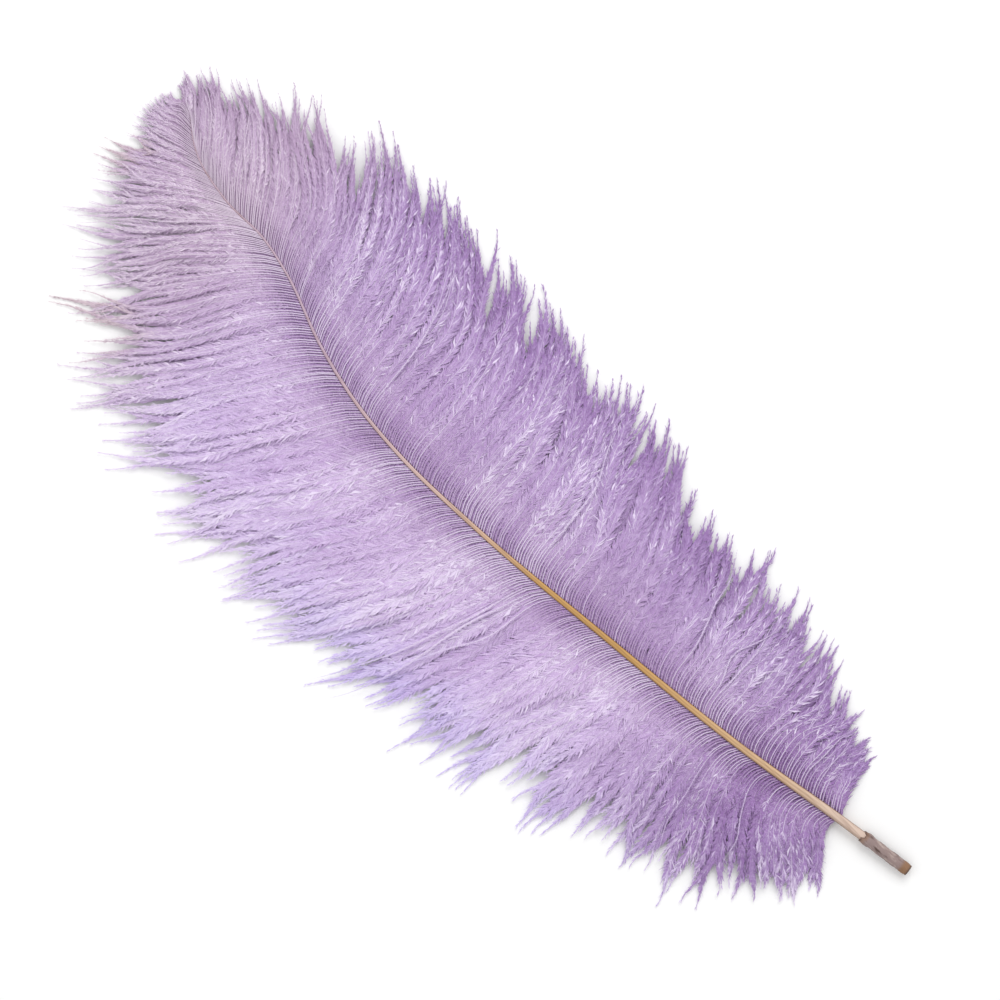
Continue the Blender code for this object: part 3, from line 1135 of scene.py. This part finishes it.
    def add_rami(self, parts: MeshParts, stretch: range) -> None:
        """Adds the barbs' own stems, three-sided and tapering to a point.

        Args:
            parts: Where to add them.
            stretch: The barbs.
        """
        barb, share, centre, aside, up = self.stations(stretch, self.ramus_steps, 1.0)
        thickest = np.minimum(self.ramus_radius, 0.45 * self.plan.shaft(self.roots[barb])[3])
        thickest = thickest * self.stem[barb]
        radius = (thickest * (1.0 - 0.40 * share - 0.54 * share**4))[:, None]
        ring = []
        for corner in range(3):
            angle = -math.pi / 2 + 2 * math.pi * corner / 3
            ring.append(centre + radius * (math.cos(angle) * aside + math.sin(angle) * up))
        points = np.stack(ring, 1).reshape(-1, 3)
        many, far = np.repeat(barb, 3), np.repeat(share, 3)
        places = self.place_on_map(many, far, np.tile((-0.35, -0.45, -0.25), len(barb)), stretch)
        # Painted highlight: each stem is painted paler than its down along its length, fading out at its end.
        paler = 0.32 * (1.0 - 1.2 * ease((far - 0.82) / 0.18))
        faces = ladder(len(stretch), self.ramus_steps, 3, closed=True)
        parts.add(points, faces, places, **self.tints(points, many, far, paler, 0.0))

    def add_webs(self, parts: MeshParts, stretch: range) -> None:
        """Adds the dense down along each barb: a strip bent down on both sides, with a ragged edge.

        Args:
            parts: Where to add them.
            stretch: The barbs.
        """
        chance = np.random.default_rng(self.seed * 1000 + stretch.start + 500)
        barb, share, centre, aside, up = self.stations(stretch, self.web_steps, 0.97)
        fill = ease((share * self.lengths[barb] - 2.0 * MM) / self.comb_length)
        half = self.web_half * (0.75 + 0.25 * fill) * (1.0 - ease((share - 0.66) / 0.31))
        half = half * (1.0 + (self.web[barb] - 1.0) * ease((share - 0.08) / 0.30))
        half = half * (1.0 - 0.5 * self.downy[barb])
        half = half * (1.0 - 0.25 * self.tipward[barb] * ease(share / 0.3))
        rows = []
        for side in (-1.0, 0.0, 1.0):
            ragged = half * (1.0 + 0.25 * chance.normal(0.0, 1.0, len(barb)))
            drop = (0.60 - 0.30 * fill) * MM + 0.35 * abs(side) * ragged
            rows.append(centre + (side * ragged)[:, None] * aside - drop[:, None] * up)
        points = np.stack(rows, 1).reshape(-1, 3)
        points[:, 2] = np.maximum(points[:, 2], LEAST_HEIGHT)
        many, far = np.repeat(barb, 3), np.repeat(share, 3)
        # Painted shade: the dense down is painted darker than its barb, as shade in the gaps between barbs;
        # on the wide vane this fades towards the edge.
        web_shade_fading = 0.80 if self.side is Side.WIDE else 0.0
        darker = np.tile((-0.50, -0.34, -0.50), len(barb)) * (1.0 - web_shade_fading * ease((far - 0.35) / 0.45))
        fibres = np.tile((-4.0, 0.0, -4.0), len(barb))
        places = self.place_on_map(many, far, np.tile((-0.22, -0.15, -0.08), len(barb)), stretch)
        faces = ladder(len(stretch), self.web_steps, 3, closed=False)
        parts.add(points, faces, places, **self.tints(points, many, far, darker, fibres))

    def barbule_roots(self, chance: np.random.Generator, stretch: range) -> tuple[Array, Array, Array]:
        """Spaces the barbules along both sides of barbs, fewer of them towards the barbs' tips.

        Args:
            chance: Where the random numbers come from.
            stretch: The barbs.

        Returns:
            Each barbule's barb, how far along it is, and the side that it grows on.
        """
        counts = np.maximum((self.lengths[stretch.start : stretch.stop] / self.barbule_gap).astype(int), 8)
        barb = np.repeat(np.array(stretch), counts)
        order = np.arange(len(barb)) - np.repeat(np.cumsum(counts) - counts, counts)
        share = (order + chance.uniform(0.0, 1.0, len(barb))) / np.repeat(counts, counts)
        along = np.linspace(0.0, 1.0, 257)
        crowd = np.cumsum(1.0 - 0.62 * ease((along - 0.72) / 0.28))
        share = np.interp(share, (crowd - crowd[0]) / (crowd[-1] - crowd[0]), along)
        hand = np.repeat((1.0, -1.0), len(barb))
        return np.tile(barb, 2), np.clip(np.tile(share, 2), 0.004, 0.992), hand

    def add_barbules(self, parts: MeshParts, stretch: range) -> None:
        """Adds the barbules: thin bent slivers along both sides of every barb.

        Args:
            parts: Where to add them.
            stretch: The barbs.
        """
        chance = np.random.default_rng(self.seed * 1000 + stretch.start)
        barb, share, hand = self.barbule_roots(chance, stretch)
        n = len(barb)
        root = self.trace(barb, share)
        ahead, aside, up = self.directions(barb, share)
        downy = self.downy[barb]
        past_bare = (share * self.lengths[barb] / MM - 1.5 * (1.0 - downy)) * MM
        fill = ease(past_bare / self.comb_length / (1.0 - 0.5 * downy))
        length = self.barbule_length * (0.30 + 0.70 * fill) * (1.0 - 0.30 * share**3)
        length = length * chance.uniform(0.6, 1.2, n) * (0.55 + 0.45 * self.full[barb]) * self.fluff[barb]
        length = length * (1.0 + 0.35 * downy)
        length = length * (1.0 - chance.uniform(0.30, 0.85, n) * ease((share - 0.78) / 0.22))
        lean = chance.normal(self.barbule_lean, 10.0, n)
        lean = lean - 18.0 * share**1.5 - 10.0 * ease((share - 0.75) / 0.25)
        lean = np.radians(lean)[:, None]
        loose = chance.random(n) < 0.03
        below = self.under_share + 0.15 * self.tipward[barb]
        under = (chance.random(n) < below) & (share > 0.08)
        droop = np.where(under, -30.0, -11.0) - 40.0 * (1.0 - fill)
        root = root - np.where(under, 0.45 * MM, 0.0)[:, None] * up
        roll = np.where(loose, chance.normal(0.0, 14.0, n), chance.normal(0.0, 8.0, n) + droop)
        roll = np.radians(roll)[:, None]
        sideways = hand[:, None] * np.cos(roll) * aside + np.sin(roll) * up
        bend = np.radians(chance.normal(20.0, 14.0, n))[:, None]
        first_way = np.cos(lean) * ahead + np.sin(lean) * sideways
        second_way = np.cos(lean - bend) * ahead + np.sin(lean - bend) * sideways
        half = length[:, None] * 0.5
        width = self.barbule_width * self.breadth[barb] * chance.uniform(0.7, 1.25, n)
        width = width * (1.0 - 0.72 * share**2)
        flat = unit(np.cross(first_way, up + 0.3 * aside * chance.normal(0.0, 1.0, n)[:, None]))
        elbow = root + first_way * half
        tip = elbow + unit(second_way) * half
        outward = np.where((second_way * flat).sum(1) > 0.0, -0.5, 0.5)
        side = flat * (width * outward)[:, None]
        points = np.stack((root - side, root + side, elbow + side * 0.9, tip), 1)
        points[:, :, 2] = np.maximum(points[:, :, 2], LEAST_HEIGHT)
        reach = 0.7 * length / self.lengths[barb]
        many = np.repeat(barb, 4)
        far = np.stack((share, share, share + 0.5 * reach, share + reach), 1).ravel()
        shift = np.tile((-0.05, 0.4, 0.4, 0.15), n)
        points = points.reshape(-1, 3)
        start = np.arange(n) * 4
        halves = (start, start + 1, start + 2), (start, start + 2, start + 3)
        faces = np.concatenate([np.stack(half, 1) for half in halves])
        # Painted light and shade: besides their own random variation, barbules in the comb by the shaft are
        # painted darker, as shade in its gaps, and barbule tips paler, as light through thin fibres, most on
        # the wide vane.
        painted_tip_light = (0.34 if self.side is Side.WIDE else 0.04) * ease((share - 0.75) / 0.25)
        paler = np.repeat(chance.normal(0.0, 0.18, n) - 0.42 * (1.0 - fill) + painted_tip_light, 4)
        places = self.place_on_map(many, far, shift, stretch)
        parts.add(points, faces, places, **self.tints(points, many, far, paler, 0.0))

    def build(self, names: tuple[str, ...]) -> list[bpy.types.Object]:
        """Builds the vane.

        Args:
            names: The names of its stretches, from the quill to the tip.

        Returns:
            One object for each stretch.
        """
        weight = np.cumsum(self.lengths)
        cuts = np.searchsorted(weight, weight[-1] * np.arange(1, len(names)) / len(names))
        edges = [0, *cuts.tolist(), self.barbs]
        made = []
        for name, first, last in zip(names, edges, edges[1:]):
            parts, stretch = MeshParts(), range(first, last)
            for add in (self.add_rami, self.add_webs, self.add_barbules):
                add(parts, stretch)
            piece = parts.build(name, self.down)
            LOG.info("%s: %d barbs, %d triangles", name, len(stretch), len(piece.data.polygons))
            made.append(piece)
        return made


@dataclass
class Shaft:
    """The shaft and the sheath round its quill.

    Attributes:
        plan: The plume's plan.
        horn: The shaft's material.
        sheath: The sheath's material.
        step: Distance between rings.
        sides: Corners of a ring.
        slim: Thickness of the shaft past the quill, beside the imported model's.
        groove_depth: Depth of the groove, in radii.
        groove_width: Width of the groove, as an angle in radians.
        groove_start: How far from the cut end the groove begins.
        sheath_length: Length of the sheath.
        sheath_wall: Thickness of the sheath.
        sheath_rings: Rings of the sheath.
        sheath_flat: Height of the sheath beside its width.
        rim_depth: How ragged the sheath's rim is.
        collar: How far from the cut end the sheath bulges.
        bore: Radius of the quill's bore, in radii of the quill.
        bore_depth: Depth of the bore.
        bore_shade: How dark the bore is.
    """

    plan: PlumePlan
    horn: bpy.types.Material
    sheath: bpy.types.Material
    step: float = 1.5 * MM
    sides: int = 36
    slim: float = 0.80
    groove_depth: float = 0.20
    groove_width: float = 0.55
    groove_start: float = 24.0 * MM
    sheath_length: float = 17.5 * MM
    sheath_wall: float = 0.38 * MM
    sheath_rings: int = 50
    sheath_flat: float = 0.9
    rim_depth: float = 0.8 * MM
    collar: float = 15.6 * MM
    bore: float = 0.55
    bore_depth: float = 4.0 * MM
    bore_shade: float = 0.9

    @property
    def angle(self) -> Array:
        """The angles of a ring's corners, from sideways towards up."""
        return 2 * math.pi * np.arange(self.sides) / self.sides

    def rings(self, along: Array) -> tuple[Array, Array, Array, Array]:
        """Finds where the shaft's rings are.

        Args:
            along: Distances from the cut end.

        Returns:
            Their centres, sideways directions, up directions and radii.
        """
        _, across, height, radius = self.plan.shaft(along)
        centre = np.column_stack((along, across, height)) + self.plan.origin
        ahead = unit(np.gradient(centre, along, axis=0))
        aside = unit(np.cross((0.0, 0.0, 1.0), ahead))
        return centre, aside, np.cross(ahead, aside), radius

    def finish(
        self, name: str, material: bpy.types.Material, rows: Array, faces: Array, **layers: Array
    ) -> bpy.types.Object:
        """Makes a piece of rings and reports it.

        Args:
            name: The piece's name.
            material: What it wears.
            rows: Its rings of points.
            faces: Its triangles.
            **layers: Numbers for each vertex, by the layer's name.

        Returns:
            The object.
        """
        parts = MeshParts()
        parts.add(rows.reshape(-1, 3), faces, **layers)
        piece = parts.build(name, material)
        LOG.info("%s: %d triangles", name, len(piece.data.polygons))
        return piece

    def build_rachis(self) -> bpy.types.Object:
        """Builds the shaft, with a groove down its upper side and a bore in its cut end.

        Returns:
            The object.
        """
        bore = np.array((self.bore_depth, self.bore_depth, 0.2 * MM, 0.0))
        outer = np.linspace(0.0, self.plan.length, round(self.plan.length / self.step))
        along = np.concatenate((bore, outer))
        centre, aside, up, radius = self.rings(outer)
        radius = radius * (1.0 - (1.0 - self.slim) * ease((outer - 25 * MM) / (40 * MM)))
        inner = np.array((0.05, self.bore, self.bore, self.bore * 1.15)) * radius[0]
        radii = np.concatenate((inner, radius))[:, None]
        first = np.zeros(len(bore), int)
        centre = np.concatenate((centre[first] + bore[:, None] * np.cross(aside[0], up[0]), centre))
        aside, up = (np.concatenate((way[first], way)) for way in (aside, up))
        cos, sin = np.cos(self.angle), np.sin(self.angle)
        off_top = np.abs(np.angle(np.exp(1j * (self.angle - math.pi / 2))))
        dent = np.exp(-((off_top / (self.groove_width * 0.6)) ** 2))
        deep = self.groove_depth * ease((along - self.groove_start) / (20 * MM))
        deep[: len(bore)] = 0.0
        squash = np.where(sin < 0.0, 0.92, 0.88)
        rows = around(centre, aside, up, cos * radii, sin * radii * (1.0 - deep[:, None] * dent) * squash)
        count = len(along)
        corner = np.arange(1, self.sides - 1)
        last = (count - 1) * self.sides
        start_cap = np.stack((np.zeros(len(corner), int), corner + 1, corner), 1)
        end_cap = np.stack((np.full(len(corner), last), last + corner, last + corner + 1), 1)
        faces = np.concatenate((ladder(1, count, self.sides, closed=True), start_cap, end_cap))
        # Painted shade: darker down the groove and on both flanks of the round shaft, more on the wide vane's
        # side, away from the light; the bore is painted darkest.
        middle = ease(deep / self.groove_depth)[:, None] * dent**2 * 0.35
        flank_shade = 0.85 * ease((np.abs(cos) - 0.74) / 0.24)
        flank_shade = np.maximum(flank_shade, 0.35 * ease((cos - 0.2) / 0.5))
        groove = np.maximum(middle, flank_shade).ravel()
        groove[: 3 * self.sides] = self.bore_shade
        share = np.repeat(np.clip(along / self.plan.length, 0.0, 1.0), self.sides)
        return self.finish("shaft", self.horn, rows, faces, along=share, groove=groove)

    def build_sheath(self) -> bpy.types.Object:
        """Builds the papery sheath: an uneven sleeve with a ragged rim and a cut end.

        Returns:
            The object.
        """
        chance = np.random.default_rng(3)
        outer = np.linspace(0.0, self.sheath_length, self.sheath_rings)
        centre, aside, up, radius = self.rings(outer)
        ahead = np.cross(aside, up)
        angle = self.angle
        cos, sin = np.cos(angle)[None, :], np.sin(angle)[None, :]
        waves = 0.5 * np.sin(angle * 2 + 0.6) + 0.3 * np.sin(angle * 5 + 2.0) + 0.3 * np.sin(angle * 9 + 4.0)
        ragged = self.rim_depth * waves
        wrinkle = 0.07 * MM * np.sin(outer[:, None] / MM * 1.3 + 2.0 * sin)
        wrinkle = wrinkle + 0.035 * MM * chance.normal(0.0, 1.0, (len(outer), self.sides))
        bulge = 0.16 * MM * np.exp(-(((outer - self.collar) / (1.0 * MM)) ** 2))
        bulge = bulge - 0.22 * MM * np.exp(-((outer / (1.3 * MM)) ** 2))
        size = radius[:, None] + self.sheath_wall + wrinkle + bulge[:, None]
        size[0] = radius[0] + self.sheath_wall * 0.7
        stretch = (outer / self.sheath_length) ** 6
        sleeve = around(centre, aside, up, size * cos, size * sin * self.sheath_flat)
        sleeve = sleeve + (stretch[:, None] * ragged)[:, :, None] * ahead[:, None, :]
        mouth = around(centre[:1], aside[:1], up[:1], radius[0] * 0.98 * cos, radius[0] * 0.9 * sin)
        inside = around(centre[-1:], aside[-1:], up[-1:], radius[-1] * 0.9 * cos, radius[-1] * 0.85 * sin)
        inside = inside + ragged[None, :, None] * ahead[-1:, None, :]
        rows = np.concatenate((mouth, sleeve, inside))
        rows[:, :, 2] = np.maximum(rows[:, :, 2], 0.05 * MM)
        out = np.repeat(np.concatenate((outer[:1], outer, outer[-1:]))[:, None], self.sides, axis=1)
        bare = 0.85 * (1.0 - ease((out - 2.0 * MM) / (1.6 * MM)))
        bare = np.maximum(bare, 0.5 * ease((out - self.collar) / (1.2 * MM)))
        # Painted shade: the sheath's underside is darkened.
        under = 0.7 * ease((-np.sin(angle + 0.35) + 0.15) / 0.9)
        cut = np.maximum(0.9 * (1.0 - ease(out / (0.9 * MM))), under)
        cut = np.maximum(cut, 0.7 * ease((out - 17.0 * MM) / (0.5 * MM)))
        faces = ladder(1, len(rows), self.sides, closed=True)
        layers = {"cut": cut.ravel(), "bare_horn": bare.ravel()}
        return self.finish("quill_sheath", self.sheath, rows, faces, **layers)


@dataclass(frozen=True)
class SoftLight:
    """A soft square light.

    Attributes:
        name: Its name.
        place: How far it is from the middle, to the picture's right, up the picture and up.
        size: Its side.
        power: Its power in watts.
    """

    name: str
    place: Triple
    size: float
    power: float


@dataclass(frozen=True)
class Studio:
    """A pale floor, soft light and a camera that looks straight down.

    Attributes:
        plan: The plume's plan.
        view_middle: The middle of the picture, along and across from the quill's cut end.
        picture_up: The picture's upward direction on the floor.
        picture_width: How wide a stretch of floor the picture shows.
        height: The camera's height.
        sensor: Width of the camera's sensor, in millimetres.
        floor_half: Half the floor's side.
        floor_drop: How far the floor lies below the plume, so that the two never share a surface.
        floor_white: How pale the floor is.
        sky: Strength of the even light from all round.
        lights: The soft lights.
    """

    plan: PlumePlan
    view_middle: tuple[float, float] = (171.5 * MM, 14.3 * MM)
    picture_up: tuple[float, float] = (0.731, -0.682)
    picture_width: float = 312.5 * MM
    height: float = 1.6
    sensor: float = 36.0
    floor_half: float = 3.0
    floor_drop: float = 0.3 * MM
    floor_white: float = 0.96
    sky: float = 0.68
    lights: tuple[SoftLight, ...] = (
        SoftLight("key", (0.35, 0.85, 1.1), 0.8, 9.0),
        SoftLight("fill", (-0.8, -0.1, 1.4), 1.6, 5.0),
    )

    @property
    def middle(self) -> Vector:
        """The point on the floor that the camera looks at."""
        x, y = self.view_middle
        return Vector((self.plan.origin[0] + x, self.plan.origin[1] + y, 0.0))

    def aim(self, item: bpy.types.Object, place: Vector, up: Vector) -> None:
        """Puts an object at a place, looking at the middle.

        Args:
            item: The object.
            place: Where it goes.
            up: The direction that is up for it.
        """
        back = (place - self.middle).normalized()
        right = up.cross(back).normalized()
        turn = Matrix((right, back.cross(right), back)).transposed().to_4x4()
        item.matrix_world = Matrix.Translation(place) @ turn

    def add_camera(self) -> None:
        """Adds the camera."""
        data = bpy.data.cameras.new("camera")
        data.sensor_width = self.sensor
        data.lens = self.sensor * self.height / self.picture_width
        data.clip_end = 20.0
        camera = show("camera", data)
        self.aim(camera, self.middle + Vector((0.0, 0.0, self.height)), Vector((*self.picture_up, 0.0)))
        bpy.context.scene.camera = camera

    def add_light(self, light: SoftLight) -> None:
        """Adds a light.

        Args:
            light: Which one.
        """
        data = bpy.data.lights.new(light.name, "AREA")
        data.size = light.size
        data.energy = light.power
        up = Vector((*self.picture_up, 0.0))
        high = Vector((0.0, 0.0, 1.0))
        offset = up.cross(high) * light.place[0] + up * light.place[1] + high * light.place[2]
        self.aim(show(light.name, data), self.middle + offset, high.cross(offset))

    def add_floor(self) -> None:
        """Adds the pale floor."""
        half = self.floor_half
        mesh = bpy.data.meshes.new("floor")
        sides = ((-half, -half), (half, -half), (half, half), (-half, half))
        mesh.from_pydata([(x, y, -self.floor_drop) for x, y in sides], [], [(0, 1, 2, 3)])
        tree = ShadeTree.start("floor_paint")
        tree.shader.inputs["Base Color"].default_value = (*(self.floor_white,) * 3, 1.0)
        tree.shader.inputs["Roughness"].default_value = 0.7
        mesh.materials.append(tree.material)
        show("floor", mesh)

    def set_sky(self) -> None:
        """Lights the scene evenly from all round."""
        world = bpy.data.worlds.new("studio")
        world.use_nodes = True
        background = world.node_tree.nodes["Background"]
        background.inputs["Color"].default_value = (1.0, 1.0, 1.0, 1.0)
        background.inputs["Strength"].default_value = self.sky
        bpy.context.scene.world = world
        bpy.context.scene.view_settings.view_transform = "Standard"

    def build(self) -> None:
        """Builds the whole studio."""
        self.add_camera()
        self.add_floor()
        for light in self.lights:
            self.add_light(light)
        self.set_sky()


def main() -> None:
    """Builds the studio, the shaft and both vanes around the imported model."""
    logging.basicConfig(level=logging.INFO, format="%(name)s: %(message)s")
    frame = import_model()
    plan = PlumePlan.from_frame(frame)
    Studio(plan).build()
    down = DyedDown().make()
    shaft = Shaft(plan, Horn().make(), Sheath().make())
    dressed = [(shaft.build_rachis(), Slot.SHAFT), (shaft.build_sheath(), Slot.QUILL)]
    wide = Vane(plan, Side.WIDE, down, seed=5)
    narrow = Vane(plan, Side.NARROW, down, seed=8)
    for piece in wide.build(("wide_barbs_quill", "wide_barbs_middle", "wide_barbs_tip")):
        dressed.append((piece, Slot.VANE))
    for piece in narrow.build(("narrow_barbs_quill", "narrow_barbs_middle", "narrow_barbs_tip")):
        dressed.append((piece, Slot.VANE))
    for piece, slot in dressed:
        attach(piece, BODY)
        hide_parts(NODE)
        LOG.info("%s rides on %s and stands for %s", piece.name, BODY, NODE)
    bpy.context.view_layer.update()


if __name__ == "__main__":
    main()
